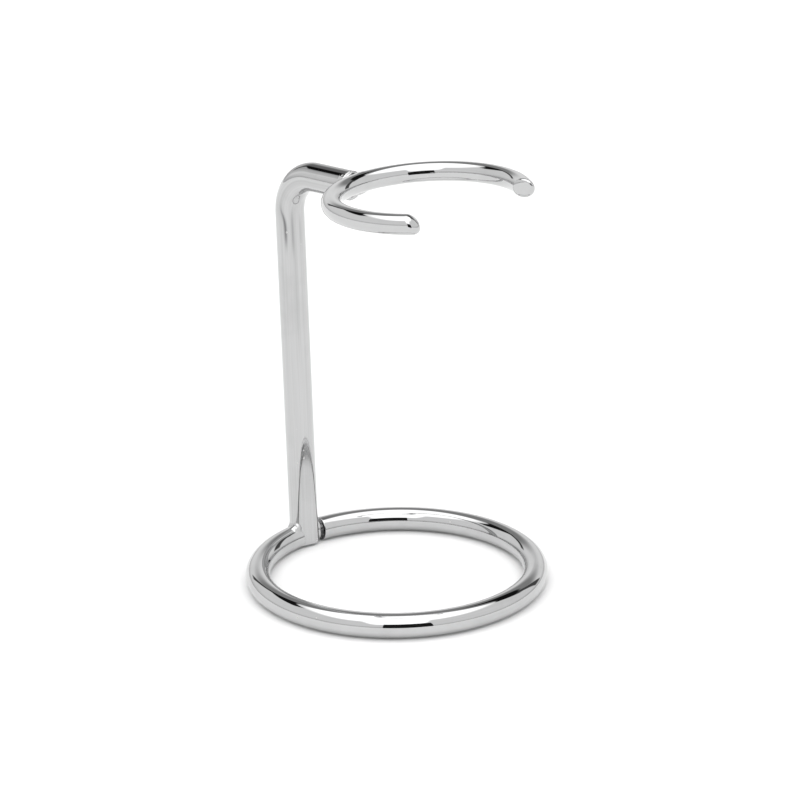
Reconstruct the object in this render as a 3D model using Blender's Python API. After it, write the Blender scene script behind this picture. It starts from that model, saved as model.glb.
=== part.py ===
"""A small stand for one shaving brush, bent from three lengths of round steel rod.

A ring of rod lies on the floor. A post stands on it at the back and bends over
into a short arm. The arm carries an open ring, parallel to the arm, that the
brush's handle drops into. Three runs of braze join the rods. All sizes are in metres.

The base ring lies in the XY plane. +Z is up and the post is at +Y, so the
brush ring opens towards -Y. The origin is on the floor, in the middle of the
space that the whole stand takes up.
"""

import math

import bmesh
import bpy
from mathutils import Matrix, Vector

MM = 0.001

# Base ring: 5 mm rod bent to 62 mm outside diameter.
BASE_ROD_R = 2.5 * MM
BASE_RING_R = 28.5 * MM

# Post: 6 mm rod that stands on the base ring's own centre line.
POST_ROD_R = 3.0 * MM
POST_ARM_HEIGHT = 81.4 * MM
POST_BEND_R = 8.5 * MM
POST_ARM_REACH = 19.2 * MM
POST_LEAN = math.radians(1.4)
POST_FOOT_LIFT = 0.6 * MM
POST_FOOT_ROUND = 0.5 * MM

# Flat ground on the foot's inner side. It eases out of the rod's surface from its tip
# down, and it faces a little to the left of the middle of the ring.
FLAT_DEPTH = 0.85 * MM
FLAT_START = 0.05 * MM
FLAT_TIP_Z = 26.0 * MM
FLAT_EASE = 22.0 * MM
FLAT_TURN = math.radians(15.0)

# Brush ring: 4 mm rod bent to 33.6 mm inside diameter, open for 110 degrees at the front.
BRUSH_ROD_R = 2.0 * MM
BRUSH_RING_R = 18.8 * MM
BRUSH_RING_REACH = 41.1 * MM
BRUSH_RING_RISE = 1.25 * MM
BRUSH_RING_END = math.radians(125.0)
BRUSH_RING_TILT = math.radians(2.2)

# Braze: beads in the corners between the rods, with a hairline gap to each rod.
HAIRLINE = 0.3 * MM
BASE_END_RIGHT_X = 4.0 * MM
BASE_END_LEFT_X = 1.6 * MM
FOOT_FILL_R = 2.2 * MM
FOOT_FILL_LENGTH = 2.8 * MM
FOOT_BEAD_R = 1.7 * MM
FOOT_BEAD_AT = (-3.5 * MM, -0.5 * MM, 5.1 * MM)
ARM_BEAD_R = 2.8 * MM
ARM_BEAD_LENGTH = 2.6 * MM

# Facets.
BASE_SIDES = 16
BASE_STEPS = 72
POST_SIDES = 24
BEND_STEPS = 12
FLAT_STEPS = 10
BRUSH_SIDES = 16
BRUSH_STEPS = 54
DOME_STEPS = 4


def clear_scene():
    """Removes whatever the scene holds."""
    for old in list(bpy.data.objects):
        bpy.data.objects.remove(old, do_unlink=True)


def make_material(name, color, roughness):
    """A plated metal with one Principled BSDF."""
    material = bpy.data.materials.new(name)
    material.use_nodes = True
    shader = material.node_tree.nodes["Principled BSDF"]
    shader.inputs["Base Color"].default_value = (color, color, color, 1.0)
    shader.inputs["Metallic"].default_value = 1.0
    shader.inputs["Roughness"].default_value = roughness
    material.diffuse_color = (color, color, color, 1.0)
    return material


def add_circle(bm, sides, flat_radius, matrix):
    """A loop of edges whose flats, not its corners, are at the rod's radius.

    It is turned by half a side, so that one flat faces straight down.
    """
    half_turn = Matrix.Rotation(math.pi / sides, 4, "Z")
    corner_radius = flat_radius / math.cos(math.pi / sides)
    made = bmesh.ops.create_circle(
        bm, segments=sides, radius=corner_radius, matrix=matrix @ half_turn
    )
    verts = made["verts"]
    return verts, list({edge for vert in verts for edge in vert.link_edges})


def last_loop(made):
    """The vertices and edges that an extrude or a spin ends on."""
    verts = [item for item in made if isinstance(item, bmesh.types.BMVert)]
    ends = set(verts)
    edges = [item for item in made if isinstance(item, bmesh.types.BMEdge)]
    edges = [edge for edge in edges if ends.issuperset(edge.verts)]
    return verts, edges


def extrude_loop(bm, edges, shift):
    """Carries a loop of edges along a straight line and returns the new loop."""
    made = bmesh.ops.extrude_edge_only(bm, edges=edges)
    verts, new_edges = last_loop(made["geom"])
    bmesh.ops.translate(bm, verts=verts, vec=shift)
    return verts, new_edges


def spin_loop(bm, verts, edges, centre, axis, angle, steps):
    """Carries a loop of edges round an axis and returns the last loop."""
    made = bmesh.ops.spin(
        bm, geom=verts + edges, cent=centre, axis=axis, angle=angle, steps=steps
    )
    return last_loop(made["geom_last"])


def dome_loop(bm, edges, centre, along, radius):
    """Closes a rod's end with half a ball, in a few shrinking loops."""
    for step in range(1, DOME_STEPS):
        angle = 0.5 * math.pi * step / DOME_STEPS
        made = bmesh.ops.extrude_edge_only(bm, edges=edges)
        verts, edges = last_loop(made["geom"])
        for vert in verts:
            offset = vert.co - centre
            offset -= along * offset.dot(along)
            offset.normalize()
            side = offset * (radius * math.cos(angle))
            vert.co = centre + side + along * (radius * math.sin(angle))
    bmesh.ops.contextual_create(bm, geom=edges)


def cap_ends(bm):
    """Fills each open end of a tube with one flat face."""
    open_edges = [edge for edge in bm.edges if len(edge.link_faces) == 1]
    bmesh.ops.holes_fill(bm, edges=open_edges, sides=0)


def finish_mesh(bm, name, material, parent, sharp_degrees=40.0):
    """Turns the bmesh into a smooth-shaded object with its material and parent."""
    bmesh.ops.remove_doubles(bm, verts=bm.verts, dist=1.0e-7)
    bmesh.ops.recalc_face_normals(bm, faces=bm.faces)
    mesh = bpy.data.meshes.new(name)
    bm.to_mesh(mesh)
    bm.free()
    mesh.shade_smooth()
    mesh.set_sharp_from_angle(angle=math.radians(sharp_degrees))
    obj = bpy.data.objects.new(name, mesh)
    bpy.context.collection.objects.link(obj)
    if material is not None:
        obj.data.materials.append(material)
    if parent is not None:
        obj.parent = parent
    return obj


def make_empty(name, parent=None):
    """An empty that places and leans a group of pieces."""
    empty = bpy.data.objects.new(name, None)
    empty.empty_display_size = 5.0 * MM
    bpy.context.collection.objects.link(empty)
    if parent is not None:
        empty.parent = parent
    return empty


def cut(obj, cutter):
    """Cuts a hidden tool body out of a piece."""
    cutter.hide_render = True
    cutter.display_type = "WIRE"
    boolean = obj.modifiers.new("cut_" + cutter.name, "BOOLEAN")
    boolean.operation = "DIFFERENCE"
    boolean.solver = "EXACT"
    boolean.object = cutter


def ring_bmesh(ring_r, rod_r, sides, steps, first, last):
    """A rod bent round the Z axis.

    Angles are measured from +Y towards +X. The rod runs from the angle first
    to the angle last. Returns the bmesh and the loops at both ends.
    """
    bm = bmesh.new()
    stand_up = Matrix.Rotation(math.pi / 2.0, 4, "Y")
    at_back = Matrix.Translation(Vector((0.0, ring_r, 0.0)))
    verts, edges = add_circle(bm, sides, rod_r, at_back @ stand_up)
    turn = Matrix.Rotation(-first, 3, "Z")
    bmesh.ops.rotate(bm, verts=verts, cent=(0.0, 0.0, 0.0), matrix=turn)
    # A spin about +Z turns from +Y towards -X, so this one goes the other way.
    end_verts, end_edges = spin_loop(
        bm, verts, edges, (0.0, 0.0, 0.0), (0.0, 0.0, -1.0), last - first, steps
    )
    return bm, (verts, edges), (end_verts, end_edges)


def ring_point(ring_r, angle):
    """The point of a ring's centre line at an angle, and the direction of travel there."""
    point = Vector((ring_r * math.sin(angle), ring_r * math.cos(angle), 0.0))
    along = Vector((math.cos(angle), -math.sin(angle), 0.0))
    return point, along


def build_base_ring(material, parent, upright):
    """The ring on the floor, open at the back where the post stands.

    Its right end is cut square and stops short of the post. Its left end is coped,
    so it hugs the post's round side.
    """
    right = math.asin(BASE_END_RIGHT_X / BASE_RING_R)
    left = 2.0 * math.pi - math.asin(BASE_END_LEFT_X / BASE_RING_R)
    bm, _, _ = ring_bmesh(
        BASE_RING_R, BASE_ROD_R, BASE_SIDES, BASE_STEPS, right, left
    )
    cap_ends(bm)
    ring = finish_mesh(bm, "base_ring", material, parent)
    ring.location = (0.0, 0.0, BASE_ROD_R)
    cut(ring, add_post_tool("tool_cope", upright))
    return ring


def post_bmesh(rod_r, foot, reach):
    """The post's rod: straight up, through the bend, then forwards along the arm.

    The rod's axis at the foot is the Z axis, and the arm points to -Y.
    """
    bm = bmesh.new()
    start = Matrix.Translation(Vector((0.0, 0.0, foot)))
    verts, edges = add_circle(bm, POST_SIDES, rod_r, start)
    bend_z = POST_ARM_HEIGHT - POST_BEND_R
    verts, edges = extrude_loop(bm, edges, (0.0, 0.0, bend_z - foot))
    centre = (0.0, -POST_BEND_R, bend_z)
    verts, edges = spin_loop(
        bm, verts, edges, centre, (1.0, 0.0, 0.0), math.pi / 2.0, BEND_STEPS
    )
    extrude_loop(bm, edges, (0.0, -(reach - POST_BEND_R), 0.0))
    cap_ends(bm)
    return bm


def build_flat_cutter(parent):
    """The space that the grinding takes off the foot: a flat that eases out upwards.

    Its outline is drawn in the YZ plane and swept across the rod. From the tip down,
    the depth follows half a cosine wave until it reaches the full depth. The tool
    starts a hair outside the rod, so that it leaves the surface cleanly at the tip.
    """
    outside = -POST_ROD_R - 1.5 * MM
    outline = [(outside, -2.0 * MM), (FLAT_DEPTH - POST_ROD_R, -2.0 * MM)]
    for step in range(FLAT_STEPS + 1):
        part = step / FLAT_STEPS
        depth = 0.5 * FLAT_DEPTH * (1.0 + math.cos(math.pi * part)) - part * FLAT_START
        z = FLAT_TIP_Z - FLAT_EASE * (1.0 - part)
        outline.append((depth - POST_ROD_R, z))
    outline.append((outside, FLAT_TIP_Z + 3.0 * MM))
    half = POST_ROD_R + 1.0 * MM
    bm = bmesh.new()
    verts = [bm.verts.new((-half, y, z)) for y, z in outline]
    face = bm.faces.new(verts)
    made = bmesh.ops.extrude_face_region(bm, geom=[face])
    moved = [item for item in made["geom"] if isinstance(item, bmesh.types.BMVert)]
    bmesh.ops.translate(bm, verts=moved, vec=(2.0 * half, 0.0, 0.0))
    cutter = finish_mesh(bm, "tool_foot_flat", None, parent)
    cutter.rotation_euler = (0.0, 0.0, -FLAT_TURN)
    return cutter


def build_post(material, parent):
    """The post and its arm, one rod with one bend and a flat on its foot."""
    bm = post_bmesh(POST_ROD_R, POST_FOOT_LIFT, POST_ARM_REACH)
    post = finish_mesh(bm, "post", material, parent)
    cut(post, build_flat_cutter(parent))
    rounding = post.modifiers.new("foot_rounding", "BEVEL")
    rounding.width = POST_FOOT_ROUND
    rounding.segments = 2
    rounding.limit_method = "ANGLE"
    rounding.angle_limit = math.radians(60.0)
    return post


def build_brush_ring(material, parent):
    """The open ring for the brush's handle, with a domed end on each side of the gap."""
    end = BRUSH_RING_END
    bm, first, last = ring_bmesh(
        BRUSH_RING_R, BRUSH_ROD_R, BRUSH_SIDES, BRUSH_STEPS, -end, end
    )
    radius = BRUSH_ROD_R / math.cos(math.pi / BRUSH_SIDES)
    point, along = ring_point(BRUSH_RING_R, end)
    dome_loop(bm, last[1], point, along, radius)
    point, along = ring_point(BRUSH_RING_R, -end)
    dome_loop(bm, first[1], point, -along, radius)
    ring = finish_mesh(bm, "brush_ring", material, parent, 60.0)
    ring.location = (0.0, -BRUSH_RING_REACH, POST_ARM_HEIGHT + BRUSH_RING_RISE)
    ring.rotation_euler = (0.0, -BRUSH_RING_TILT, 0.0)
    return ring


def add_post_tool(name, parent):
    """A round bar in the post's place that stands for it and its hairline gap."""
    bm = bmesh.new()
    radius = POST_ROD_R + HAIRLINE
    bmesh.ops.create_cone(
        bm,
        cap_ends=True,
        segments=32,
        radius1=radius,
        radius2=radius,
        depth=30.0 * MM,
    )
    return finish_mesh(bm, name, None, parent)


def build_foot_fill(material, parent, upright):
    """The braze that fills the gap between the base ring's right end and the post.

    It is a short plug in line with the ring's rod, a little thinner than the rod,
    and hollowed where it meets the post.
    """
    bm = bmesh.new()
    bmesh.ops.create_cone(
        bm,
        cap_ends=True,
        segments=20,
        radius1=FOOT_FILL_R,
        radius2=FOOT_FILL_R,
        depth=FOOT_FILL_LENGTH,
        matrix=Matrix.Rotation(math.pi / 2.0, 4, "Y"),
    )
    fill = finish_mesh(bm, "foot_braze_right", material, parent)
    angle = math.asin(BASE_END_RIGHT_X / BASE_RING_R)
    end, along = ring_point(BASE_RING_R, angle)
    middle = end - along * (HAIRLINE + 0.5 * FOOT_FILL_LENGTH)
    fill.location = (middle.x, middle.y, BASE_ROD_R)
    fill.rotation_euler = (0.0, 0.0, -angle)
    cut(fill, add_post_tool("tool_foot_fill", upright))
    return fill


def build_foot_bead(material, parent, upright):
    """The bead of braze on top of the base ring, in the corner with the post's left side."""
    bm = bmesh.new()
    bmesh.ops.create_uvsphere(bm, u_segments=24, v_segments=12, radius=FOOT_BEAD_R)
    bead = finish_mesh(bm, "foot_braze_left", material, parent)
    x, y, z = FOOT_BEAD_AT
    bead.location = (x, BASE_RING_R + y, z)
    cut(bead, add_post_tool("tool_foot_bead_post", upright))
    turn = math.radians(20.0)
    bm, _, _ = ring_bmesh(BASE_RING_R, BASE_ROD_R + HAIRLINE, 24, 16, -turn, turn)
    cap_ends(bm)
    tool = finish_mesh(bm, "tool_foot_bead_ring", None, parent)
    tool.location = (0.0, 0.0, BASE_ROD_R)
    cut(bead, tool)
    return bead


def build_arm_bead(material, parent, brush_ring):
    """The braze between the arm's end and the back of the brush ring.

    It is half a ball, stretched a little forwards, that fills the corner under and
    behind the ring. The ring's rod passes through its upper half.
    """
    bm = bmesh.new()
    bmesh.ops.create_uvsphere(bm, u_segments=24, v_segments=12, radius=ARM_BEAD_R)
    stretch = Vector((1.0, ARM_BEAD_LENGTH / ARM_BEAD_R, 1.0))
    turn = Matrix.Rotation(math.pi / 2.0, 3, "X")
    bmesh.ops.rotate(bm, verts=bm.verts, cent=(0.0, 0.0, 0.0), matrix=turn)
    bmesh.ops.scale(bm, verts=bm.verts, vec=stretch)
    bmesh.ops.bisect_plane(
        bm,
        geom=list(bm.verts) + list(bm.edges) + list(bm.faces),
        plane_co=(0.0, 0.0, 0.0),
        plane_no=(0.0, 1.0, 0.0),
        clear_outer=True,
    )
    cap_ends(bm)
    bead = finish_mesh(bm, "arm_braze", material, parent)
    bead.location = (0.0, -POST_ARM_REACH - HAIRLINE, POST_ARM_HEIGHT)
    wrap = math.radians(30.0)
    bm, _, _ = ring_bmesh(BRUSH_RING_R, BRUSH_ROD_R + HAIRLINE, 24, 16, -wrap, wrap)
    cap_ends(bm)
    tool = finish_mesh(bm, "tool_arm_braze", None, parent)
    tool.location = brush_ring.location
    tool.rotation_euler = brush_ring.rotation_euler
    cut(bead, tool)
    return bead


def footprint_shift():
    """How far forwards the base ring is set, so the origin is in the footprint's middle.

    The post leans back, so its bend reaches further back than the base ring.
    """
    bend_z = POST_ARM_HEIGHT - POST_BEND_R
    bend_centre = bend_z * math.sin(POST_LEAN) - POST_BEND_R * math.cos(POST_LEAN)
    back = BASE_RING_R + bend_centre + POST_BEND_R + POST_ROD_R
    front = BASE_RING_R + BASE_ROD_R
    return 0.5 * (back - front)


def build():
    clear_scene()
    chrome_base = make_material("chrome_base_ring", 0.80, 0.07)
    chrome_post = make_material("chrome_post", 0.80, 0.09)
    chrome_brush = make_material("chrome_brush_ring", 0.82, 0.06)
    chrome_foot_left = make_material("chrome_foot_braze_left", 0.76, 0.14)
    chrome_foot_right = make_material("chrome_foot_braze_right", 0.76, 0.14)
    chrome_arm_braze = make_material("chrome_arm_braze", 0.76, 0.14)

    stand = make_empty("stand")
    stand.location = (0.0, -footprint_shift(), 0.0)
    upright = make_empty("upright", stand)
    upright.location = (0.0, BASE_RING_R, 0.0)
    upright.rotation_euler = (-POST_LEAN, 0.0, 0.0)

    build_base_ring(chrome_base, stand, upright)
    build_post(chrome_post, upright)
    brush_ring = build_brush_ring(chrome_brush, upright)
    build_foot_fill(chrome_foot_right, stand, upright)
    build_foot_bead(chrome_foot_left, stand, upright)
    build_arm_bead(chrome_arm_braze, upright, brush_ring)
    bpy.context.view_layer.update()


build()
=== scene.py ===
# %% [markdown]
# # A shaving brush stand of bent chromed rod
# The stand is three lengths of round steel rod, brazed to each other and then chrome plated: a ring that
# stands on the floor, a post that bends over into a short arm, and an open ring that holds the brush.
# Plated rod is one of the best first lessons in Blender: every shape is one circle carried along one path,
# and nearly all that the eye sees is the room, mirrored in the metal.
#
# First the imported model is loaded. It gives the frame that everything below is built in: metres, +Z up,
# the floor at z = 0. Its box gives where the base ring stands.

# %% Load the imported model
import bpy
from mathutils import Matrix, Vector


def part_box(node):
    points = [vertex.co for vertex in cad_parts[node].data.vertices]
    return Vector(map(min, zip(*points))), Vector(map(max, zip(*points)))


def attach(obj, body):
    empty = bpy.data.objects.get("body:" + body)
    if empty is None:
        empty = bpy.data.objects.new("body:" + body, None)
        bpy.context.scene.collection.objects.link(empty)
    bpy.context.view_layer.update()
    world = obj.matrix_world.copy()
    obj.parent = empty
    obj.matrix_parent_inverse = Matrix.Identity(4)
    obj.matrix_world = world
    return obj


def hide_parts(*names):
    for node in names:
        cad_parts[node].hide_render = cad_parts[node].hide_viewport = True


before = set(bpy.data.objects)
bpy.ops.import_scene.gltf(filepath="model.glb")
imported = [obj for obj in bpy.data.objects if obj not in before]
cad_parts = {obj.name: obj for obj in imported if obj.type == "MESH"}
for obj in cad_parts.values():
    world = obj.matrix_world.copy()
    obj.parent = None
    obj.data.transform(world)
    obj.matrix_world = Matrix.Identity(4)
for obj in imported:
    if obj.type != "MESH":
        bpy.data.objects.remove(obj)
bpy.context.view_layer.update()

import math

import bpy
import numpy as np
from mathutils import Matrix, Vector

MM = 0.001

# %% [markdown]
# The sizes of the real stand, in millimetres, which is how a maker would read them. The rods are common
# stock: 5 mm for the ring on the floor, 6 mm for the post, 4 mm for the ring that holds the brush. The
# post leans a little, as a hand-bent and brazed post does, so the post, its arm and the brush ring are
# worked out standing straight and are leaned together at the end.

# %% Sizes in millimetres
BASE_ROD_R, BASE_RING_R = 2.5, 28.5
BASE_END_RIGHT_X = 4.0
BASE_RING_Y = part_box("base_ring")[0][1] / MM + BASE_RING_R + BASE_ROD_R
POST_Y = BASE_RING_Y + BASE_RING_R
POST_ROD_R, POST_FOOT_Z, POST_ARM_Z = 3.0, 0.6, 81.4
POST_BEND_R, POST_ARM_REACH = 8.5, 19.2
POST_LEAN = math.radians(1.4)
FLAT_DEPTH, FLAT_TIP_Z = 0.85, 25.9
FLAT_TURN = math.radians(15)
BRUSH_ROD_R, BRUSH_RING_R = 2.0, 18.8
BRUSH_RING_Y, BRUSH_RING_Z = -41.1, POST_ARM_Z + 1.25
BRUSH_RING_END, BRUSH_RING_TILT = math.radians(125), math.radians(2.2)
print("base ring centre at y =", round(BASE_RING_Y, 3), "post at y =", round(POST_Y, 3))

# %% [markdown]
# A carried profile needs three things: how far along the rod each row of points is, how wide the rod is
# there, and which way the path runs. The first two are the same sum for every rod here. An end is either
# cut square, with its sharp edge taken off, or it is a full dome, which is the same rounding made as large
# as the rod. A lathe would leave exactly this outline, so it is worked out once for all of them.

# %% How a rod's outline runs from one end to the other
ROUND_STEPS = 14
FACE_PARTS = np.array([0.12, 0.3, 0.5, 0.7, 0.86, 0.96])


def rod_outline(length, rod_r, edge_first, edge_last, body):
    """Distance along the rod and radius there, as two arrays. body is the distances wanted between the
    two ends, or only how many of them, evenly spaced.
    Over a rounded edge of size e, at angle t from 0 to 90 degrees, the radius is
    rod_r - e + e sin t and the distance past the last full circle is e cos t."""
    t = np.linspace(0, math.pi / 2, ROUND_STEPS)

    def end(edge):
        past, radius = edge * np.cos(t), rod_r - edge + edge * np.sin(t)
        if rod_r - edge < 0.01:  # a dome: its first row is the pole itself
            return past[1:], radius[1:]
        face = FACE_PARTS * (rod_r - edge)
        return np.r_[np.full(face.size, edge), past], np.r_[face, radius]

    past_a, radius_a = end(edge_first)
    past_b, radius_b = end(edge_last)
    body = np.linspace(0, length, body + 2)[1:-1] if np.isscalar(body) else body
    along = np.r_[-past_a, body, length + past_b[::-1]]
    radius = np.r_[radius_a, np.full(body.size, rod_r), radius_b[::-1]]
    return along, radius


along, radius = rod_outline(10, 2, 2, 0.2, 8)
print("a 10 mm rod with one dome and one cut end has", along.size, "rows of points")

# %% [markdown]
# The paths. A ring is bent on a former, so its path is an arc; the post is straight, then a quarter of a
# bend, then straight again. Each path gives a centre and two directions across the rod for every distance.
# Past either end the path simply runs on straight, which is what a cut end or a dome does on real rod.

# %% Two paths: an arc, and a post with one bend


def arc_path(along, ring_r, start, length):
    """Centre and cross directions on an arc. At angle a = start + distance / ring_r, clockwise from +Y,
    the centre is ring_r (sin a, cos a, 0); the first direction points away from the ring's middle and
    the second straight up."""
    on = np.clip(along, 0, length)
    a, past, nought = start + on / ring_r, (along - on)[:, None], np.zeros(on.size)
    outward = np.stack([np.sin(a), np.cos(a), nought], -1)
    forward = np.stack([np.cos(a), -np.sin(a), nought], -1)
    up = np.broadcast_to([0.0, 0.0, 1.0], outward.shape)
    return ring_r * outward + past * forward, outward, up


POST_STRAIGHT = POST_ARM_Z - POST_BEND_R - POST_FOOT_Z
POST_LENGTH = POST_STRAIGHT + POST_BEND_R * math.pi / 2 + POST_ARM_REACH - POST_BEND_R


def post_path(along):
    """Centre and cross directions of the post. The turn b is 0 up to the bend and grows to 90 degrees
    through it; the centre is the bend's middle plus bend radius times (0, cos b, sin b), with the straight
    lengths before and after added on."""
    b = np.clip((along - POST_STRAIGHT) / POST_BEND_R, 0, math.pi / 2)
    before = np.minimum(along, POST_STRAIGHT)
    after = np.maximum(along - POST_STRAIGHT - POST_BEND_R * math.pi / 2, 0)
    nought = np.zeros(along.size)
    outward = np.stack([nought, np.cos(b), np.sin(b)], -1)
    sideways = np.broadcast_to([-1.0, 0.0, 0.0], outward.shape)
    y = POST_BEND_R * (np.cos(b) - 1) - after
    z = POST_FOOT_Z + before + POST_BEND_R * np.sin(b)
    return np.stack([nought, y, z], -1), outward, sideways


print("length of rod in the post:", round(POST_LENGTH, 2), "mm")

# %% [markdown]
# Now the circle is carried along the path. The whole rod comes out as one grid of points, row by row. The
# same grid also gets coordinates of its own, as if the rod were straight: two across it and one along it.
# Polish lines and plating ripples follow those, so they run round a bend as they do on real bent rod.

# %% Carry a circle along a path


def carry_circle(path, radius, around):
    """point(i, v) = centre(i) + radius(i) (cos v first(i) + sin v second(i)), for v once round."""
    centre, first, second = path
    v = np.linspace(0, 2 * math.pi, around, endpoint=False)
    ring = np.cos(v)[None, :, None] * first[:, None] + np.sin(v)[None, :, None] * second[:, None]
    return centre[:, None] + radius[:, None, None] * ring


def straightened(along, radius, around):
    """Coordinates in the straight rod: (radius cos v, radius sin v, distance along), in millimetres."""
    v = np.linspace(0, 2 * math.pi, around, endpoint=False)
    across = radius[:, None]
    length = np.broadcast_to(along[:, None], (along.size, around))
    return np.stack([across * np.cos(v), across * np.sin(v), length], -1)


# %% [markdown]
# A grid becomes a mesh with one quad for each cell and a fan at each end, so the skin is closed. A small
# check is worth having here: the volume inside, summed from the faces, is positive only when they all face
# outwards. If it is negative, the grid ran the other way round, and every face is turned over.

# %% Turn a grid into a closed mesh


def volume_of(points, triangles):
    """The volume inside a closed skin: one sixth of the sum of a . (b x c) over its triangles."""
    a, b, c = (points[triangles[:, k]] for k in range(3))
    return float(np.einsum("ij,ij->", a, np.cross(b, c))) / 6


def skin(name, grid, poles, rod, ground, cut=0.0):
    """Makes the object: grid is rows x around x 3 in millimetres, poles the two end points, rod the
    straightened coordinates, and ground and cut how much of the surface is a ground or a cut face; on the
    post, cut also holds painted dark reflections."""
    rows, around = grid.shape[:2]
    j = np.arange(around)
    k = (j + 1) % around
    i = np.arange(rows - 1)[:, None] * around
    quads = np.stack([i + j, i + k, i + around + k, i + around + j], -1).reshape(-1, 4)
    first = np.stack([np.full(around, rows * around), k, j], -1)
    last = np.stack([np.full(around, rows * around + 1),
                     (rows - 1) * around + j, (rows - 1) * around + k], -1)
    points = np.concatenate([grid.reshape(-1, 3), np.asarray(poles, float)])
    fans = np.concatenate([first, last])
    volume = volume_of(points, np.concatenate([quads[:, :3], quads[:, [0, 2, 3]], fans]))
    if volume < 0:
        quads, fans, volume = quads[:, ::-1], fans[:, ::-1], -volume
    mesh = bpy.data.meshes.new(name)
    mesh.from_pydata((points * MM).tolist(), [], quads.tolist() + fans.tolist())
    mesh.polygons.foreach_set("use_smooth", np.ones(len(mesh.polygons), bool))
    rod = np.concatenate([rod.reshape(-1, 3), rod[0].mean(0)[None], rod[-1].mean(0)[None]])
    # the cut mask also carries the post's painted dark reflections
    masks = {"ground": ground, "cut": np.broadcast_to(cut, grid.shape[:2])}
    mesh.attributes.new("rod", "FLOAT_VECTOR", "POINT").data.foreach_set(
        "vector", rod.astype(np.float32).ravel())
    for mask, values in masks.items():
        values = np.concatenate([values.reshape(-1), [values[0].mean(), values[-1].mean()]])
        mesh.attributes.new(mask, "FLOAT", "POINT").data.foreach_set("value", values.astype(np.float32))
    mesh.update()
    piece = bpy.data.objects.new(name, mesh)
    bpy.context.scene.collection.objects.link(piece)
    print(f"{name}: {len(mesh.polygons)} faces, {volume:.1f} cubic mm inside")
    return piece


# %% [markdown]
# The finishes are shared effects, so each is built once as a shader node group with named inputs. A tiny
# helper that places a node, sets its sockets and makes its links keeps every group short enough to read.

# %% A helper for nodes


def put(tree, kind, sockets=(), **settings):
    """Adds a node of this kind, sets its settings, and fills its sockets: a value, or another socket."""
    node = tree.nodes.new(kind)
    for key, value in settings.items():
        setattr(node, key, value)
    for key, value in dict(sockets).items():
        if isinstance(value, bpy.types.NodeSocket):
            tree.links.new(value, node.inputs[key])
        else:
            node.inputs[key].default_value = value
    return node


def sums(tree, operation, *values, clamp=False):
    """One Math node; its result socket comes back, so sums can be written inside each other."""
    return put(tree, "ShaderNodeMath", dict(enumerate(values)),
               operation=operation, use_clamp=clamp).outputs[0]


def step_up(tree, value, low, high):
    """Rises smoothly from 0 to 1 as the value goes from low to high."""
    sockets = {"Value": value, "From Min": low, "From Max": high}
    return put(tree, "ShaderNodeMapRange", sockets, interpolation_type="SMOOTHSTEP").outputs[0]


def new_group(name, inputs, outputs):
    """An empty shader group with named inputs (name, kind, value) and outputs (name, kind)."""
    tree = bpy.data.node_groups.new(name, "ShaderNodeTree")
    for label, kind, value in inputs:
        socket = tree.interface.new_socket(name=label, in_out="INPUT", socket_type=kind)
        if value is not None:
            socket.default_value = value
    for label, kind in outputs:
        tree.interface.new_socket(name=label, in_out="OUTPUT", socket_type=kind)
    return tree, tree.nodes.new("NodeGroupInput"), tree.nodes.new("NodeGroupOutput")


FLOAT, VECTOR = "NodeSocketFloat", "NodeSocketVector"

# %% [markdown]
# Before plating, the rod is drawn and then polished along its length, and chrome is so thin that it copies
# what is under it. So the metal carries two reliefs: fine lines that run along the rod, and a slow ripple
# that makes straight reflections waver. Both are heights in metres, small enough to be real: a few
# thousandths of a millimetre for the ripple, and far less for the lines.

# %% Effect one: polish lines and plating ripple
lines_group, g_in, g_out = new_group(
    "polish lines and ripple",
    [("Rod", VECTOR, None), ("Line Depth", FLOAT, 0.3), ("Line Length", FLOAT, 40.0),
     ("Ripple Depth", FLOAT, 4.0), ("Ripple Size", FLOAT, 3.0)],
    [("Height", FLOAT), ("Lines", FLOAT)],
)
flatten = put(lines_group, "ShaderNodeCombineXYZ",
              {0: 1.0, 1: 1.0, 2: sums(lines_group, "DIVIDE", 1.0, g_in.outputs["Line Length"])})
drawn = put(lines_group, "ShaderNodeVectorMath", {0: g_in.outputs["Rod"], 1: flatten.outputs[0]},
            operation="MULTIPLY")
fine = put(lines_group, "ShaderNodeTexNoise", {
    "Vector": drawn.outputs[0], "Scale": 2.6, "Detail": 5.0, "Roughness": 0.7})
slow_scale = sums(lines_group, "DIVIDE", 1.0, g_in.outputs["Ripple Size"])
squeeze = put(lines_group, "ShaderNodeVectorMath", {0: g_in.outputs["Rod"], 1: (1.0, 1.0, 0.45)},
              operation="MULTIPLY")
slow = put(lines_group, "ShaderNodeTexNoise", {
    "Vector": squeeze.outputs[0], "Scale": slow_scale, "Detail": 1.5, "Roughness": 0.4})
MICRON = 1e-6


def in_microns(noise, depth):
    """A noise from 0 to 1 times a depth in microns, as a height in metres."""
    deep = sums(lines_group, "MULTIPLY", noise.outputs["Fac"], g_in.outputs[depth])
    return sums(lines_group, "MULTIPLY", deep, MICRON)


relief_height = sums(lines_group, "ADD", in_microns(fine, "Line Depth"), in_microns(slow, "Ripple Depth"))
lines_group.links.new(relief_height, g_out.inputs["Height"])
lines_group.links.new(step_up(lines_group, fine.outputs["Fac"], 0.35, 0.7), g_out.inputs["Lines"])
print("group:", lines_group.name)

# %% [markdown]
# Handling leaves chrome slightly uneven: a faint film in soft patches, and a few specks of dust. Neither
# has a colour that the eye can name, but without them the metal looks computed. The group gives two masks,
# and each material decides what a mask does.

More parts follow.
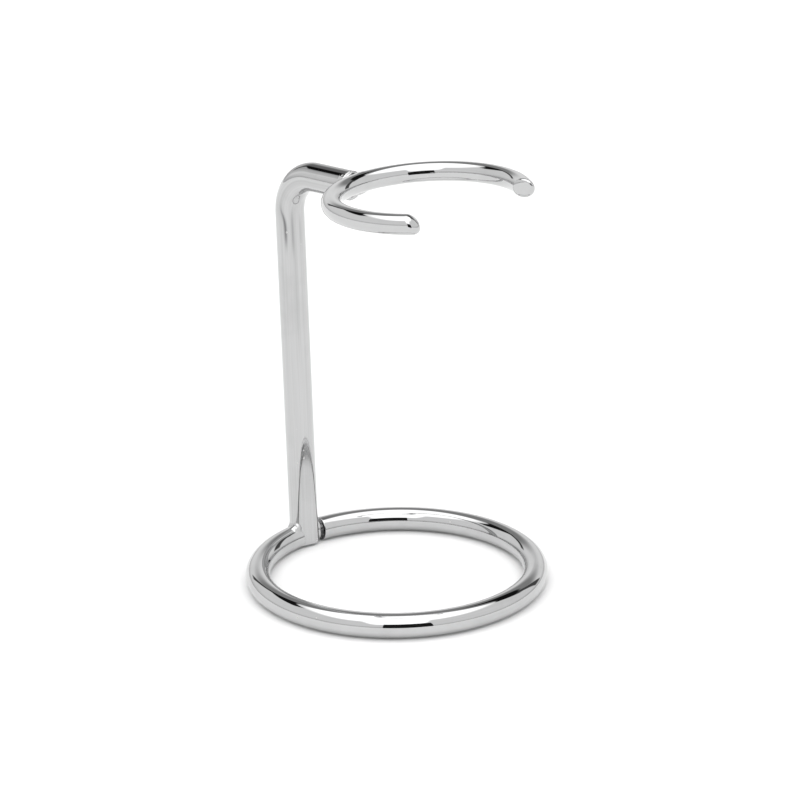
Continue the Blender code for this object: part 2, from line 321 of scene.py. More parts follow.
# %% Effect two: the film and specks of handling
film_group, g_in, g_out = new_group(
    "film and specks",
    [("Position", VECTOR, None), ("Patch Size", FLOAT, 12.0), ("Speck Size", FLOAT, 0.5),
     ("Speck Share", FLOAT, 0.1)],
    [("Film", FLOAT), ("Specks", FLOAT)],
)
to_mm = put(film_group, "ShaderNodeVectorMath", {0: g_in.outputs["Position"], "Scale": 1 / MM},
            operation="SCALE")
patch = put(film_group, "ShaderNodeTexNoise", {
    "Vector": to_mm.outputs[0], "Scale": sums(film_group, "DIVIDE", 1.0, g_in.outputs["Patch Size"]),
    "Detail": 3.0, "Roughness": 0.6, "Distortion": 0.6})
cells = put(film_group, "ShaderNodeTexVoronoi", {
    "Vector": to_mm.outputs[0], "Scale": sums(film_group, "DIVIDE", 0.35, g_in.outputs["Speck Size"])})
chosen = put(film_group, "ShaderNodeSeparateColor", {"Color": cells.outputs["Color"]})
is_speck = sums(film_group, "LESS_THAN", chosen.outputs[0], g_in.outputs["Speck Share"])
near = sums(film_group, "SUBTRACT", 1.0, step_up(film_group, cells.outputs["Distance"], 0.08, 0.2))
film_group.links.new(step_up(film_group, patch.outputs["Fac"], 0.45, 0.75), g_out.inputs["Film"])
film_group.links.new(sums(film_group, "MULTIPLY", is_speck, near), g_out.inputs["Specks"])
print("group:", film_group.name)

# %% [markdown]
# One function mixes the two effects into chrome. Chromium returns a little under six tenths of the light
# that falls on it, a neutral grey, and everything else is mirror. The ground faces, which are the flat at
# the post's foot and the cut ends, were finished on a belt, so they are a little rougher than the drawn rod.
# Two masks on the mesh steer this: "ground" adds roughness, and "cut" darkens the metal, for a face that
# was cut and never polished, and as painted dark reflections on the post's dull streaks and the arm's top.

# %% The chrome itself
CHROME = (0.556, 0.558, 0.560, 1.0)
FILMED = (0.492, 0.493, 0.494, 1.0)
DUSTY = (0.66, 0.655, 0.645, 1.0)
# the dark of an unpolished cut face, also used for the painted dark reflections on the post
CUT_FACE_AND_PAINTED_DARK = (0.14, 0.14, 0.143, 1.0)
FILM_PATCH, SPECK_SIZE = 9.0, 0.45  # millimetres


def effect(tree, group, sockets):
    """Places a shared effect in a material. The group is set first, because that makes its sockets."""
    node = put(tree, "ShaderNodeGroup", node_tree=group)
    for key, value in sockets.items():
        if isinstance(value, bpy.types.NodeSocket):
            tree.links.new(value, node.inputs[key])
        else:
            node.inputs[key].default_value = value
    return node


def chrome(name, polish=0.018, dull=0.05, ground_dull=0.10, lines=0.25, line_length=60.0, line_tone=0.3,
           ripple=4.0, ripple_size=3.0, film=0.5, speck_share=0.02, pits=0.0):
    """A chrome material. Roughness = polish + dull x film + 0.35 polish x lines + ground_dull x ground
    + 0.35 x specks. Colour: chrome towards filmed by film and lines, towards the dark cut colour by the cut
    mask (unpolished cut faces, and on the post painted dark reflections), then towards dusty on the specks.
    pits, in millimetres, adds small round hollows."""
    material = bpy.data.materials.new(name)
    material.use_nodes = True
    tree = material.node_tree
    tree.nodes.clear()
    rod = put(tree, "ShaderNodeAttribute", attribute_name="rod")
    ground = put(tree, "ShaderNodeAttribute", attribute_name="ground")
    place = put(tree, "ShaderNodeTexCoord")
    relief = effect(tree, lines_group, {
        "Rod": rod.outputs["Vector"], "Line Depth": lines, "Line Length": line_length,
        "Ripple Depth": ripple, "Ripple Size": ripple_size})
    handled = effect(tree, film_group, {
        "Position": place.outputs["Object"], "Patch Size": FILM_PATCH, "Speck Size": SPECK_SIZE,
        "Speck Share": speck_share})
    filmed = sums(tree, "MULTIPLY", handled.outputs["Film"], film)
    toned = sums(tree, "ADD", filmed, sums(tree, "MULTIPLY", relief.outputs["Lines"], line_tone), clamp=True)
    tint = put(tree, "ShaderNodeMix", {0: toned, 6: CHROME, 7: FILMED}, data_type="RGBA")
    # the cut mask: an unpolished cut face, and on the post painted dark reflections
    cut = put(tree, "ShaderNodeAttribute", attribute_name="cut")
    tint = put(tree, "ShaderNodeMix", {0: cut.outputs["Fac"], 6: tint.outputs[2], 7: CUT_FACE_AND_PAINTED_DARK}, data_type="RGBA")
    specked = put(tree, "ShaderNodeMix", {0: handled.outputs["Specks"], 6: tint.outputs[2], 7: DUSTY},
                  data_type="RGBA")
    rough = sums(tree, "ADD", polish, sums(tree, "MULTIPLY", filmed, dull))
    rough = sums(tree, "ADD", rough, sums(tree, "MULTIPLY", relief.outputs["Lines"], 0.35 * polish))
    rough = sums(tree, "ADD", rough, sums(tree, "MULTIPLY", ground.outputs["Fac"], ground_dull))
    rough = sums(tree, "ADD", rough, sums(tree, "MULTIPLY", handled.outputs["Specks"], 0.35), clamp=True)
    height = relief.outputs["Height"]
    if pits:
        holes = put(tree, "ShaderNodeTexVoronoi", {
            "Vector": rod.outputs["Vector"], "Scale": 1.1, "Randomness": 1.0})
        deep = sums(tree, "SUBTRACT", 1.0, step_up(tree, holes.outputs["Distance"], 0.05, 0.34))
        height = sums(tree, "SUBTRACT", height, sums(tree, "MULTIPLY", deep, pits * MM))
    bump = put(tree, "ShaderNodeBump", {"Strength": 1.0, "Distance": 1.0, "Height": height})
    metal = put(tree, "ShaderNodeBsdfPrincipled", {
        "Base Color": specked.outputs[2], "Metallic": 1.0, "Roughness": rough, "Normal": bump.outputs[0]})
    out = put(tree, "ShaderNodeOutputMaterial")
    tree.links.new(metal.outputs[0], out.inputs[0])
    return material


base_chrome = chrome("chrome_base_ring", polish=0.010, dull=0.03, lines=0.03, ripple=3.0, ripple_size=4.0)
post_chrome = chrome("chrome_post", polish=0.03, lines=0.35, line_length=120.0, line_tone=1.0,
                     ripple=7.0, ripple_size=2.5, film=0.6)
brush_chrome = chrome("chrome_brush_ring", polish=0.010, dull=0.03, lines=0.03, ripple=2.5, ripple_size=3.5)
braze_chrome = chrome("chrome_braze", polish=0.03, lines=0.3, line_length=2.0, ripple=30.0,
                      ripple_size=1.6, pits=0.05)
print("materials:", [m.name for m in bpy.data.materials if m.name.startswith("chrome")])

# %% [markdown]
# **The ring on the floor.** It is 5 mm rod bent round almost a full turn. Its right end is cut square and
# stops a millimetre short of the post, with its cut face left unpolished; its left end runs on until it
# meets the post and disappears in the braze. A torus with a wedge cut out would do, but a carried circle
# gives a true cut face and even rows.

# %% Base ring
BASE_EDGE, BASE_ROWS, BASE_AROUND = 0.14, 560, 96
BASE_END_LEFT_X = 2.45
UNPOLISHED = 0.7  # how far towards the cut colour the square end goes
base_start = math.asin((BASE_END_RIGHT_X + BASE_EDGE) / BASE_RING_R)
base_length = BASE_RING_R * (2 * math.pi - base_start - math.asin(BASE_END_LEFT_X / BASE_RING_R))
along, radius = rod_outline(base_length, BASE_ROD_R, BASE_EDGE, BASE_EDGE, BASE_ROWS)
grid = carry_circle(arc_path(along, BASE_RING_R, base_start, base_length), radius, BASE_AROUND)
grid = grid + [0, BASE_RING_Y, BASE_ROD_R]
rod = straightened(along, radius, BASE_AROUND)
cut = np.broadcast_to((radius < BASE_ROD_R - 0.5 * BASE_EDGE)[:, None], grid.shape[:2]) * 1.0
base_ring = skin("base_ring_rod", grid, [grid[0].mean(0), grid[-1].mean(0)], rod, cut, UNPOLISHED * cut)
base_ring.data.materials.append(base_chrome)
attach(base_ring, "root")
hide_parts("base_ring")

# %% [markdown]
# **Leaning the upright.** The post, the arm and the brush ring are one brazed unit. They are turned by the
# lean about the x axis at the post's foot and moved to the back of the base ring.

# %% Lean


def lean(points):
    """y' = y cos + z sin, z' = z cos - y sin, then moved to where the post stands."""
    x, y, z = np.moveaxis(np.asarray(points, float), -1, 0)
    c, s = math.cos(POST_LEAN), math.sin(POST_LEAN)
    return np.stack([x, y * c + z * s + POST_Y, z * c - y * s], -1)


# %% [markdown]
# **The post.** It is one length of 6 mm rod with one bend. Its foot has a flat ground on it, a long cut
# that starts at nothing and deepens towards the floor. On a mesh that is a smooth "lower of two heights":
# wherever the round rod stands higher than the ground face, it is brought down to it, and the corner
# between them stays slightly rolled, as polishing leaves it. Bending also presses the inside of the bend
# into small wrinkles, and leaves one small dent beside it.

# %% The flat on the post's foot
ROLL = 0.10
FLAT_SLOPE, FLAT_FULL_AT, FLAT_STRAIGHT = 0.041, 5.0, 5.0
GRIND_BELOW = 50.0  # the grinding wheel never comes near the bend
UNTOUCHED = -9.0    # so far below the wheel that nothing is ground away
FLAT_FACING = np.array([-math.sin(FLAT_TURN), -math.cos(FLAT_TURN), 0.0])


def flat_depth(z):
    """How deep the flat is below the rod's surface: a straight slope from 0 at its tip, and an eased part
    that brings it to its full depth near the foot. Above the tip the plane rises out of the rod."""
    down = FLAT_TIP_Z - z
    tall = FLAT_TIP_Z - FLAT_FULL_AT
    eased = np.clip((down - FLAT_STRAIGHT) / (tall - FLAT_STRAIGHT), 0, 1)
    rest = FLAT_DEPTH - FLAT_SLOPE * tall
    return FLAT_SLOPE * np.clip(down, -50, tall) + rest * eased**2 * (3 - 2 * eased)


def grind(points):
    """Lowers each point along the flat's direction to the smooth lower of its height and the flat's."""
    height = points @ FLAT_FACING
    over = height - POST_ROD_R + flat_depth(points[..., 2])
    over = np.where(points[..., 2] < GRIND_BELOW, over, UNTOUCHED)
    lower = height - ROLL * np.logaddexp(0, over / ROLL)
    return points + (lower - height)[..., None] * FLAT_FACING, np.clip(over / 0.15, 0, 1)


def press(points, place, direction, depth, wide, tall):
    """Presses a mark into the points: depth times a bell of this width and height about the place."""
    off = points - place
    bell = np.exp(-((off[..., 0] ** 2 + off[..., 1] ** 2) / wide**2) - (off[..., 2] / tall) ** 2)
    return points - (depth * bell)[..., None] * np.asarray(direction)


# %% [markdown]
# The post's rows of points are close together where it has detail, at the flat and at the bend, and far
# apart on the plain length between them.

# %% Post, bent, dented and ground
POST_EDGE, POST_AROUND = 0.5, 160
rows_wanted = np.r_[np.arange(0.05, 27.6, 0.1), np.linspace(29, 60, 16),
                    np.arange(61, POST_LENGTH - 2 * POST_EDGE, 0.2)]
along, radius = rod_outline(POST_LENGTH - 2 * POST_EDGE, POST_ROD_R, POST_EDGE, POST_EDGE, rows_wanted)
v = np.linspace(0, 2 * math.pi, POST_AROUND, endpoint=False)
path = post_path(along + POST_EDGE)
grid = carry_circle(path, radius, POST_AROUND)
inside = np.clip(-np.cos(v), 0, 1)[None, :] ** 2
bend_at = (along + POST_EDGE - POST_STRAIGHT)[:, None]
HOLLOW, SWELL, WRINKLE_WIDE = (0.04, 4.2), (0.03, 6.8), 1.1  # height and place along the bend
wrinkle = HOLLOW[0] * np.exp(-(((bend_at - HOLLOW[1]) / WRINKLE_WIDE) ** 2))
wrinkle = wrinkle - SWELL[0] * np.exp(-(((bend_at - SWELL[1]) / WRINKLE_WIDE) ** 2))
grid = grid + (wrinkle * inside)[..., None] * path[1][:, None]
DENT_AT, DENT_TOWARDS, DENT_DEPTH, DENT_SIZE = [-1.38, -3.72, 76.2], [-0.5, -0.8, -0.3], 0.012, 0.3
grid = press(grid, DENT_AT, DENT_TOWARDS, DENT_DEPTH, DENT_SIZE, DENT_SIZE)
grid, ground = grind(grid)
rod = straightened(along, radius, POST_AROUND)
print("flat's depth at the foot:", round(float(flat_depth(np.array(0.0))), 3), "mm")

# %% [markdown]
# The bright finish is dull in places, and there it is also painted darker, as painted reflections of dark
# things in the room: a few streaks that run along the rod below the bend, and the top of the arm. A mask on
# the mesh holds them. Each streak is a bell across the rod that fades out at its ends.

# %% Dull streaks and the arm's top, painted dark as reflections, and the finished post


def painted_dark_line(along, v, at_v, middle, half, wide, strength):
    """A dull line along the rod, also painted dark as a painted reflection: a bell of this width across it,
    faded out beyond half its length.
    """
    across = POST_ROD_R * np.radians((np.degrees(v)[None, :] - at_v + 180) % 360 - 180)
    fade = np.exp(-np.abs((along[:, None] - middle) / half) ** 3)
    return strength * fade * np.exp(-((across / wide) ** 2))


def near_outside(v_degrees, half):
    """1 within half degrees of the side that is outside the bend, 0 beyond, with a soft edge 14 wide."""
    off = np.abs((v_degrees + 180) % 360 - 180)
    return np.clip((half - off) / 14 + 0.5, 0, 1)


# the side streak shifts from 119 to 95 degrees round the rod as it enters the bend
side = (95 + 24 / (1 + np.exp((along - 72.2) / 0.9)))[:, None]
# each streak is a painted dark reflection: it darkens the chrome through the cut mask and makes it a little
# rougher
DULL_STREAKS_PAINTED_DARK = [  # degrees round the rod, middle, half its length, width, strength
    (side, 82.0, 17.0, 0.13, 0.18), (side, 69.2, 3.8, 0.34, 0.80), (146.0, 68.5, 4.5, 0.28, 0.40),
    (181.0, 68.3, 3.2, 0.32, 0.20), (152.0, 58.0, 16.0, 0.25, 0.12), (100.0, 60.0, 30.0, 0.5, 0.05)]
painted_dark_marks = sum(painted_dark_line(along, v, *streak) for streak in DULL_STREAKS_PAINTED_DARK)
# the top of the arm is painted darker, a painted dark reflection, 0.55 of the way to the cut colour
ARM_TOP_FROM, ARM_TOP_HALF, ARM_TOP_PAINTED_DARK = 76.0, 52, 0.55
arm_top_painted_dark = near_outside(np.degrees(v)[None, :], ARM_TOP_HALF)
arm_top_painted_dark = arm_top_painted_dark * np.clip((along[:, None] - ARM_TOP_FROM) / 4.0, 0, 1)
painted_dark_marks = np.clip(painted_dark_marks + ARM_TOP_PAINTED_DARK * arm_top_painted_dark, 0, 1)
tips = [grid[0].mean(0), grid[-1].mean(0)]
# the cut mask carries the painted dark streaks and the arm's painted dark top; 0.4 of them also adds
# roughness
post = skin("post_rod", lean(grid), lean(tips), rod, ground + 0.4 * painted_dark_marks, painted_dark_marks)
post.data.materials.append(post_chrome)
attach(post, "root")
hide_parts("post")

# %% [markdown]
# **The brush ring.** A C of 4 mm rod, open to the front, so a brush's handle slips in sideways and its
# shoulder rests on the ring. Its two ends were finished by hand and are not alike: the left one is nearly a
# dome, with its top set back, and the right one is a slanting flat face with a rounded edge. The slant is
# made by pushing each point along the rod in proportion to where it is across the rod.

# %% Brush ring


def tilt(points, turn=-BRUSH_RING_TILT):
    """Turns points about the y axis: x' = x cos + z sin, z' = z cos - x sin."""
    x, y, z = np.moveaxis(np.asarray(points, float), -1, 0)
    c, s = math.cos(turn), math.sin(turn)
    return np.stack([x * c + z * s, y, z * c - x * s], -1)


BRUSH_CENTRE = np.array([0.0, BRUSH_RING_Y, BRUSH_RING_Z])
BRUSH_ROWS, BRUSH_AROUND = 440, 84
NEAR_EDGE, NEAR_SLANT = 1.85, (0.40, 0.0)     # edge radius; slant by height and by distance outwards
FAR_EDGE, FAR_SLANT = 0.9, (-0.22, -0.62)
NEAR_OUT, FAR_OUT = 1.85, 1.1                 # how far each end face stands past the arc's end
SLANT_OVER = 4.0                              # length of rod over which the slant is let in
brush_length = 2 * BRUSH_RING_END * BRUSH_RING_R
straight_length = brush_length + NEAR_OUT - NEAR_EDGE + FAR_OUT - FAR_EDGE
along, radius = rod_outline(straight_length, BRUSH_ROD_R, NEAR_EDGE, FAR_EDGE, BRUSH_ROWS)
along = along - (NEAR_OUT - NEAR_EDGE)
centre, outward, upward = arc_path(along, BRUSH_RING_R, -BRUSH_RING_END, brush_length)
grid = carry_circle((centre, outward, upward), radius, BRUSH_AROUND)
rod = straightened(along, radius, BRUSH_AROUND)
forward = np.cross(outward, upward)[:, None]
for sign, reach, out, (by_height, by_outward) in (
        (-1, -along, NEAR_OUT, NEAR_SLANT), (1, along - brush_length, FAR_OUT, FAR_SLANT)):
    near_end = np.clip((reach + SLANT_OVER) / (out + SLANT_OVER), 0, 1)[:, None]
    push = -sign * near_end * (by_height * rod[..., 1] + by_outward * rod[..., 0])
    grid = grid + push[..., None] * forward
tips = np.array([grid[0].mean(0), grid[-1].mean(0)])
ends = np.broadcast_to(0.25 * (radius < BRUSH_ROD_R - 0.3)[:, None], grid.shape[:2])
grid, tips = lean(tilt(grid) + BRUSH_CENTRE), lean(tilt(tips) + BRUSH_CENTRE)
brush_ring = skin("brush_ring_rod", grid, tips, rod, ends)
brush_ring.data.materials.append(brush_chrome)
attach(brush_ring, "root")
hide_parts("brush_ring")

# %% [markdown]
# **The braze.** Molten braze creeps into a joint and freezes as a hollow fillet. That shape is awkward to
# carry along a path, but easy to state as a rule: for any point, take its distance from each of the two
# rods and blend the lower of them smoothly. Where that blend is zero is the metal's skin. A ray is sent
# out from the middle of the joint in every direction, and halving its length again and again finds where
# it crosses the skin. Away from the joint the skin is kept a hair inside the rods, so only the fillet shows.

# %% Distances and their smooth blend
HIDE = 0.03  # how far inside the rods the braze's skin is kept


def blend_low(a, b, width):
    """The lower of two distances, rounded where they differ by less than width."""
    h = np.clip(width - np.abs(a - b), 0, None) / width
    return np.minimum(a, b) - h * h * width / 4


def to_torus(p, ring_r, rod_r):
    """Distance from a ring about the z axis: across the plane less ring_r, then up, less rod_r."""
    return np.hypot(np.hypot(p[..., 0], p[..., 1]) - ring_r, p[..., 2]) - rod_r


def to_cylinder(p, axis, rod_r):
    """Distance from a long rod through the origin along x, y or z (axis 0, 1 or 2)."""
    a, b = [k for k in range(3) if k != axis]
    return np.hypot(p[..., a], p[..., b]) - rod_r


def star_skin(field, centre, reach, inset=HIDE, rows=110, around=150):
    """The skin where field + inset is zero, seen from the centre, no further away than reach."""
    t = np.linspace(0, math.pi, rows + 2)[1:-1, None]
    v = np.linspace(0, 2 * math.pi, around, endpoint=False)[None, :]
    ray = np.stack([np.sin(t) * np.cos(v), np.sin(t) * np.sin(v),
                    np.broadcast_to(np.cos(t), (rows, around))], -1)
    near, far = np.zeros((rows, around)), np.full((rows, around), float(reach))
    for _ in range(28):
        middle = (near + far) / 2
        within = field(centre + middle[..., None] * ray) + inset < 0
        near, far = np.where(within, middle, near), np.where(within, far, middle)
    return centre + near[..., None] * ray


def braze_piece(name, grid, node):
    """A braze piece from its grid of points: it rides, takes its finish and replaces its CAD node."""
    poles = [grid[0].mean(0), grid[-1].mean(0)]
    piece = skin(name, grid, poles, grid - grid.mean((0, 1)), np.zeros(grid.shape[:2]))
    piece.data.materials.append(braze_chrome)
    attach(piece, "root")
    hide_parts(node)
    return piece


# %% [markdown]
# **Braze between the arm and the brush ring.** The arm stops a millimetre short of the ring, and a thick
# neck of braze joins them. The arm's end is 6 mm across and the ring only 4 mm, so the fillet is a crescent
# over the top and both sides, and the arm's end stays proud underneath.

# %% Arm braze
ARM_BLEND, NECK_BLEND = 1.5, 0.9
NECK_Y, NECK_Z, NECK_R, NECK_HALF = -20.0, 81.9, 1.9, 1.6  # between the arm's end and the ring


def arm_joint(p):
    """The arm, cut off square at its end, and the tilted ring, with the neck of braze between them."""
    arm = np.maximum(to_cylinder(p - [0, 0, POST_ARM_Z], 1, POST_ROD_R), -POST_ARM_REACH - p[..., 1])
    ring = to_torus(tilt(p - BRUSH_CENTRE, BRUSH_RING_TILT), BRUSH_RING_R, BRUSH_ROD_R)
    across = np.hypot(p[..., 0] / 1.15, p[..., 2] - NECK_Z) - NECK_R
    neck = np.maximum(across, np.abs(p[..., 1] - NECK_Y) - NECK_HALF)
    return blend_low(blend_low(arm, neck, NECK_BLEND), ring, ARM_BLEND)


arm_grid = star_skin(arm_joint, np.array([0, -19.9, 82.2]), 4.6)
arm_braze = braze_piece("arm_braze_fillet", lean(arm_grid), "arm_braze")

# %% [markdown]
# **Braze at the foot.** On the right a short plug fills the gap between the ring's cut face and the post;
# it is narrower than the ring, so a crescent of the cut face stays in sight. On the left the ring ends
# against the post: the fillet is thin in front, wider on top and widest behind, and a bead sits on the
# joint where the brazing rod was lifted away.

# %% Foot brazes
THIN_R, THIN_TO = 1.1, 4.6
THICK_R, THICK_NARROWED, THICK_TO = 2.35, 0.78, 3.35
BEAD_AT, BEAD_R = [-3.2, -0.9, 4.55], 0.95


def foot_post(p):
    """The post's foot with its flat and its rolled corners. The point is first leaned back upright."""
    c, s = math.cos(POST_LEAN), math.sin(POST_LEAN)
    p = np.stack([p[..., 0], p[..., 1] * c - p[..., 2] * s, p[..., 2] * c + p[..., 1] * s], -1)
    side = p @ FLAT_FACING - (POST_ROD_R - flat_depth(p[..., 2]))
    rolled = ROLL * np.logaddexp(to_cylinder(p, 2, POST_ROD_R) / ROLL, side / ROLL)
    return np.maximum(rolled, POST_FOOT_Z + 0.3 - p[..., 2])


def right_joint(p):
    """A plug from inside the post to inside the ring's end, thicker where it wets the post."""
    x, y, z = p[..., 0], p[..., 1], p[..., 2] - BASE_ROD_R
    thin = np.maximum(np.hypot(y, z) - THIN_R, x - THIN_TO)
    thick = np.maximum(np.hypot(y / THICK_NARROWED, z) - THICK_R, x - THICK_TO)
    return blend_low(np.maximum(blend_low(thin, thick, 0.2), 1.0 - x), foot_post(p), 0.12)


def left_joint(p):
    """The ring's left end blended into the post, with a bead on top."""
    ring = to_torus(p + [0, BASE_RING_R, -BASE_ROD_R], BASE_RING_R, BASE_ROD_R)
    ring = np.maximum(ring, p[..., 0] + BASE_END_LEFT_X)
    bead = np.linalg.norm(p - BEAD_AT, axis=-1) - BEAD_R
    fillet = 0.1 + 0.8 * np.clip(p[..., 2] / 4 - 0.8, 0, 1) + 1.1 * np.clip(p[..., 1] / 1.5, 0, 1)
    return blend_low(blend_low(ring, foot_post(p), fillet), bead, 0.8)


place_foot = np.array([0, POST_Y, 0])
right_grid = star_skin(right_joint, np.array([3.2, -0.25, 2.5]), 3.4) + place_foot
left_grid = star_skin(left_joint, np.array([-2.9, -0.2, 3.0]), 3.7) + place_foot
foot_braze_right = braze_piece("foot_braze_right_fill", right_grid, "foot_braze_right")
foot_braze_left = braze_piece("foot_braze_left_fill", left_grid, "foot_braze_left")

# %% [markdown]
# ## The studio
# Chrome has no look of its own, so the room is designed. The stand is in a tent of white fabric on a pale
# floor: bright overhead, a little darker at the horizon, a grey gap high at the back between two dark
# openings, and the dark mass of the camera and whoever works it in front.

# %% Floor


def matt(name, colour, rough):
    """A matt paint with a very faint unevenness, so no surface here is one flat colour."""
    material = bpy.data.materials.new(name)
    material.use_nodes = True
    tree = material.node_tree
    shader = tree.nodes["Principled BSDF"]
    cloud = put(tree, "ShaderNodeTexNoise", {
        "Vector": put(tree, "ShaderNodeTexCoord").outputs["Object"], "Scale": 2.0, "Detail": 4.0})
    darker = (*[c * 0.985 for c in colour], 1)
    tint = put(tree, "ShaderNodeMix", {0: cloud.outputs["Fac"], 6: darker, 7: (*colour, 1)}, data_type="RGBA")
    tree.links.new(tint.outputs[2], shader.inputs["Base Color"])
    shader.inputs["Roughness"].default_value = rough
    shader.inputs["Specular IOR Level"].default_value = 0.2
    return material


def sheet_of(name, corners, material):
    """One flat quad from its four corners in metres."""
    mesh = bpy.data.meshes.new(name)
    mesh.from_pydata([tuple(map(float, c)) for c in corners], [], [(0, 1, 2, 3)])
    mesh.materials.append(material)
    thing = bpy.data.objects.new(name, mesh)
    bpy.context.scene.collection.objects.link(thing)
    return thing


FLOOR_HALF = 12.0
corners = [(x * FLOOR_HALF, y * FLOOR_HALF, 0) for x, y in ((-1, -1), (1, -1), (1, 1), (-1, 1))]
floor = sheet_of("studio_floor", corners, matt("pale_floor", (0.92, 0.92, 0.92), 0.9))

# %% [markdown]
# The tent itself is the world's background, worked out from the direction alone: its height above the
# horizon and its bearing, in degrees. Bearing 0 is towards -Y, the open side of the brush ring, and +90
# towards +X. Each line below moves the brightness towards a new value where a mask says so.

# %% The tent
world = bpy.data.worlds.new("studio_tent")
bpy.context.scene.world = world
world.use_nodes = True
tent = world.node_tree
tent.nodes.clear()
toward = put(tent, "ShaderNodeSeparateXYZ", {0: put(tent, "ShaderNodeTexCoord").outputs["Generated"]})
DEGREE = 180 / math.pi
rise = sums(tent, "MULTIPLY", sums(tent, "ARCSINE", toward.outputs[2]), DEGREE)
bearing = sums(tent, "MULTIPLY", sums(tent, "ARCTAN2", toward.outputs[0],
                                      sums(tent, "MULTIPLY", toward.outputs[1], -1.0)), DEGREE)


def both(a, b):
    """Two masks, or a mask and a strength, multiplied."""
    return sums(tent, "MULTIPLY", a, b)


def less(a, b):
    """The first less the second."""
    return sums(tent, "SUBTRACT", a, b)


def from_bearing(middle):
    """The bearing measured from a chosen one, kept between -180 and 180."""
    return sums(tent, "WRAP", less(bearing, middle), 180.0, -180.0)


def hump(value, middle, width):
    """1 in the middle, falling away like a bell: exp(-(distance / width) squared)."""
    off = sums(tent, "DIVIDE", sums(tent, "SUBTRACT", value, middle), width)
    return sums(tent, "EXPONENT", sums(tent, "MULTIPLY", sums(tent, "MULTIPLY", off, off), -1.0))


def between(value, low, low_soft, high, high_soft):
    """1 between low and high, with soft edges of these widths."""
    up = step_up(tent, value, low - low_soft, low + low_soft)
    return both(up, less(1.0, step_up(tent, value, high - high_soft, high + high_soft)))


def towards(value, target, mask):
    """Moves a brightness towards a target by a mask."""
    return put(tent, "ShaderNodeMix", {0: mask, 2: value, 3: target}, data_type="FLOAT").outputs[0]


HORIZON, FABRIC, OVERHEAD, GAP_GREY, LEG_DARK, OPENING_DARK = 0.70, 1.0, 2.1, 0.33, 0.04, 0.01
light = towards(HORIZON, FABRIC, step_up(tent, rise, 0.0, 13.0))
back_grey = both(between(from_bearing(134.0), -42.0, 4.0, 40.0, 4.0), between(rise, 25.0, 7.0, 60.0, 4.0))
light = towards(light, GAP_GREY, back_grey)

# the height at which the bright overhead begins: lower towards the camera, higher at the back
overhead_from = less(56.0, both(between(from_bearing(-42.0), -27.0, 10.0, 25.0, 8.0), 24.0))
overhead_from = less(overhead_from, both(hump(from_bearing(-95.0), 0.0, 30.0), 6.0))
overhead_from = sums(tent, "ADD", overhead_from,
                     both(between(from_bearing(134.0), -40.0, 12.0, 40.0, 12.0), 9.0))
light = towards(light, OVERHEAD, step_up(tent, less(rise, overhead_from), -7.0, 3.0))

# the right opening, with a leg that widens into it
right_dark = both(between(from_bearing(103.0), -24.0, 1.2, 20.0, 2.0), between(rise, 38.5, 1.5, 51.0, 1.0))
right_foot = both(between(from_bearing(87.0), -8.0, 2.0, 8.0, 2.0), between(rise, 33.0, 3.0, 51.0, 1.0))
right_leg = both(between(from_bearing(88.0), -5.5, 1.2, 5.5, 1.2), between(rise, 9.0, 3.0, 40.0, 1.0))

# the left opening, whose lower and upper edges both climb with the bearing
low_edge = less(rise, both(from_bearing(186.0), 0.22))
high_edge = less(rise, both(from_bearing(186.0), 0.05))
left_dark = both(step_up(tent, low_edge, 37.5, 40.0), less(1.0, step_up(tent, high_edge, 49.5, 51.5)))
left_dark = both(left_dark, between(from_bearing(186.0), -18.0, 2.0, 24.0, 3.0))
left_leg = both(between(from_bearing(172.0), -3.2, 1.0, 3.2, 1.0), between(rise, 14.0, 3.0, 40.0, 1.0))

legs = sums(tent, "MAXIMUM", sums(tent, "MAXIMUM", right_leg, right_foot), left_leg)
light = towards(light, LEG_DARK, both(legs, 0.95))
light = towards(light, OPENING_DARK, sums(tent, "MAXIMUM", right_dark, left_dark))
backdrop = put(tent, "ShaderNodeBackground", {"Color": (1, 1, 1, 1), "Strength": light})
tent.links.new(backdrop.outputs[0], put(tent, "ShaderNodeOutputWorld").inputs[0])
print("tent nodes:", len(tent.nodes))

# %% [markdown]
# The camera's dark mass is close enough that the low ring and the high ring see it in different places, so
# it is a real sheet: one part lies on the floor in front and one stands up behind it. It only shows in
# reflections; it neither hides the stand from the camera nor shades the floor.

# %% The dark sheet in front


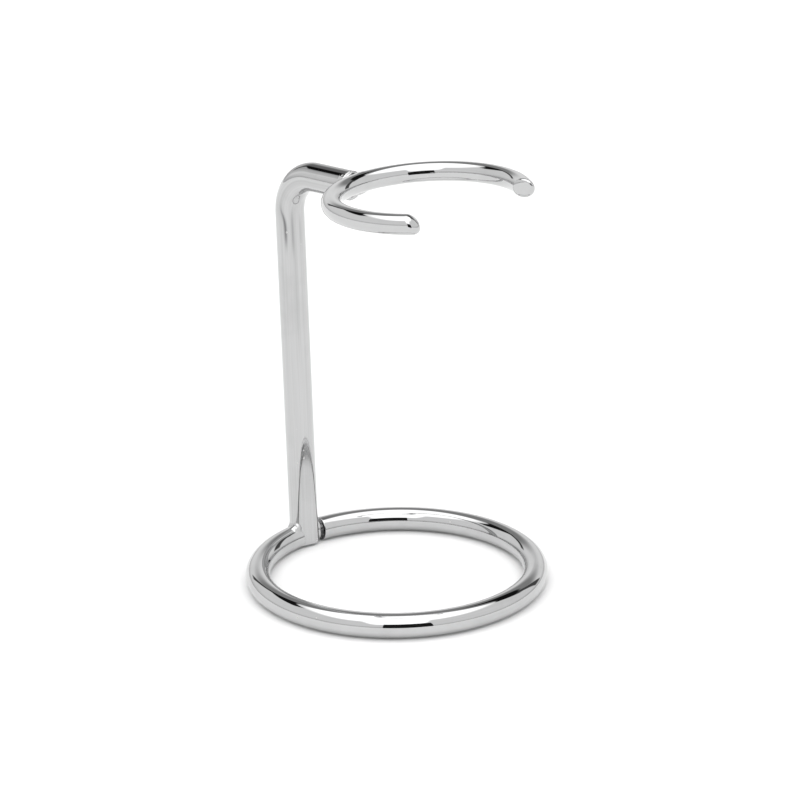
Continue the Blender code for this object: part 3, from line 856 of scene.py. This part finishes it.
def bearing_point(degrees, distance, height):
    """A point at this bearing and distance from the stand, in metres."""
    a = math.radians(degrees)
    return (math.sin(a) * distance, -math.cos(a) * distance, height)


black_cloth = matt("black_cloth", (0.012, 0.012, 0.012), 0.95)
FRONT_LEFT, FRONT_RIGHT = -53.5, -18.0
LYING_FROM, STANDING_AT, STANDING_TOP, OFF_FLOOR = 0.47, 0.56, 0.33, 0.003


def front_sheet(name, first, second):
    """A sheet between two bearings, from one (distance, height) to another."""
    corners = [bearing_point(FRONT_LEFT, *first), bearing_point(FRONT_RIGHT, *first),
               bearing_point(FRONT_RIGHT, *second), bearing_point(FRONT_LEFT, *second)]
    return sheet_of(name, corners, black_cloth)


lying = front_sheet("dark_sheet_lying", (LYING_FROM, OFF_FLOOR), (STANDING_AT, OFF_FLOOR))
standing = front_sheet("dark_sheet_standing", (STANDING_AT, 0.0), (STANDING_AT, STANDING_TOP))

for cloth in (lying, standing):
    cloth.visible_camera = cloth.visible_diffuse = cloth.visible_shadow = False

# %% [markdown]
# ## The camera
# A long lens from a little above, looking down about nineteen degrees over the left front of the stand.
# The view transform is the plain one, so that the white floor comes out white.

# %% Camera
lens = bpy.data.cameras.new("view")
lens.lens, lens.sensor_width = 127.117, 36.0
CAMERA_AT = (-0.3672033, -0.3930021, 0.2262805)
camera = bpy.data.objects.new("view", lens)
bpy.context.scene.collection.objects.link(camera)
turn, climb, roll = (math.radians(d) for d in (-43.266, 19.188, -0.8841))
back = Vector((math.sin(turn) * math.cos(climb), -math.cos(turn) * math.cos(climb), math.sin(climb)))
right = Vector((math.cos(turn), math.sin(turn), 0))
up = back.cross(right)
right, up = math.cos(roll) * right + math.sin(roll) * up, math.cos(roll) * up - math.sin(roll) * right
rows = [[right[k], up[k], back[k], CAMERA_AT[k]] for k in range(3)]
camera.matrix_world = Matrix(rows + [[0, 0, 0, 1]])
bpy.context.scene.camera = camera
bpy.context.scene.view_settings.view_transform = "Standard"
print("camera", [round(c, 3) for c in camera.location])
